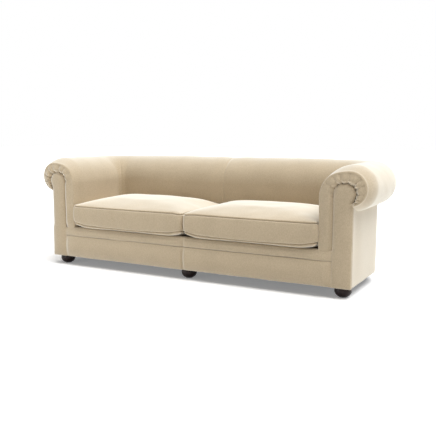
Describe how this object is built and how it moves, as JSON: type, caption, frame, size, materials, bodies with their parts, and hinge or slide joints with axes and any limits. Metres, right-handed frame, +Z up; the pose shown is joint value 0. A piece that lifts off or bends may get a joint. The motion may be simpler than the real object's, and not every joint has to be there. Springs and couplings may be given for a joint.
{
  "type": "sofa",
  "caption": "Plain scroll-arm sofa with arms and back at one height, rounded rear corners, loose boxed seat cushions, padded front border and dark bun feet.",
  "frame": {"origin": "on the floor, in the middle of the sofa's box", "axes": "+X towards the right arm as seen from the front, +Y towards the back, +Z up"},
  "size_m": [2.316, 0.8479, 0.728],
  "materials": {
    "velvet": "cream velvet",
    "foam": "upholstery foam",
    "platform_cloth": "plain weave",
    "felt": "needled felt",
    "webbing": "elastic webbing",
    "dust_cloth": "non-woven cloth",
    "timber": "sawn hardwood",
    "liner_board": "thin fibreboard",
    "foot_lacquer": "dark gloss lacquer",
    "steel": "zinc plated",
    "glide_plastic": "moulded",
    "zip_plastic": "coil zip on tape",
    "slider_metal": "satin enamel"
  },
  "bodies": {
    "frame": {"arm_cover_left": "velvet", "arm_cover_right": "velvet", "back_cover_left": "velvet", "back_cover_right": "velvet", "outside_arm_left": "velvet", "outside_arm_right": "velvet", "outside_back_left": "velvet", "outside_back_right": "velvet", "facing_pad_left": "velvet", "facing_pad_right": "velvet", "front_strip_left": "velvet", "front_strip_right": "velvet", "front_border_left": "velvet", "front_border_right": "velvet", "arm_foam_left": "foam", "arm_foam_right": "foam", "back_foam_left": "foam", "back_foam_right": "foam", "deck_foam": "foam", "deck_cover": "platform_cloth", "deck_felt": "felt", "seat_webbing": "webbing", "cross_webbing": "webbing", "dust_cover": "dust_cloth", "arm_front_board_left": "timber", "arm_front_board_right": "timber", "front_rail": "timber", "rear_rail": "timber", "side_rails": "timber", "corner_rails": "timber", "seat_back_rail": "timber", "centre_cross_rail": "timber", "foot_blocks": "timber", "arm_formers": "timber", "back_formers": "timber", "arm_top_rails": "timber", "back_top_rail": "timber", "corner_top_rails": "timber", "corner_posts": "timber", "arm_liners": "liner_board", "back_liners": "liner_board", "facing_boards": "liner_board", "foot_front_left": "foot_lacquer", "foot_front_centre": "foot_lacquer", "foot_front_right": "foot_lacquer", "foot_rear_left": "foot_lacquer", "foot_rear_centre": "foot_lacquer", "foot_rear_right": "foot_lacquer", "foot_bolts": "steel", "foot_inserts": "steel", "webbing_clips": "steel", "foot_glides": "glide_plastic"},
    "seat_cushion_left": {"cushion_cover_left": "velvet", "cushion_core_left": "foam", "cushion_zip_left": "zip_plastic"},
    "seat_cushion_right": {"cushion_cover_right": "velvet", "cushion_core_right": "foam", "cushion_zip_right": "zip_plastic"},
    "zip_left": {"zip_slider_left": "slider_metal"},
    "zip_right": {"zip_slider_right": "slider_metal"}
  },
  "joints": [
    {"name": "cushion_lift_left", "type": "slide", "parent": "frame", "child": "seat_cushion_left", "axis": [0, 0, 1], "range_m": [0, 0.47]},
    {"name": "zip_run_left", "type": "slide", "parent": "seat_cushion_left", "child": "zip_left", "axis": [1, 0, 0], "range_m": [0, 0.6]},
    {"name": "cushion_lift_right", "type": "slide", "parent": "frame", "child": "seat_cushion_right", "axis": [0, 0, 1], "range_m": [0, 0.47]},
    {"name": "zip_run_right", "type": "slide", "parent": "seat_cushion_right", "child": "zip_right", "axis": [-1, 0, 0], "range_m": [0, 0.6]}
  ]
}
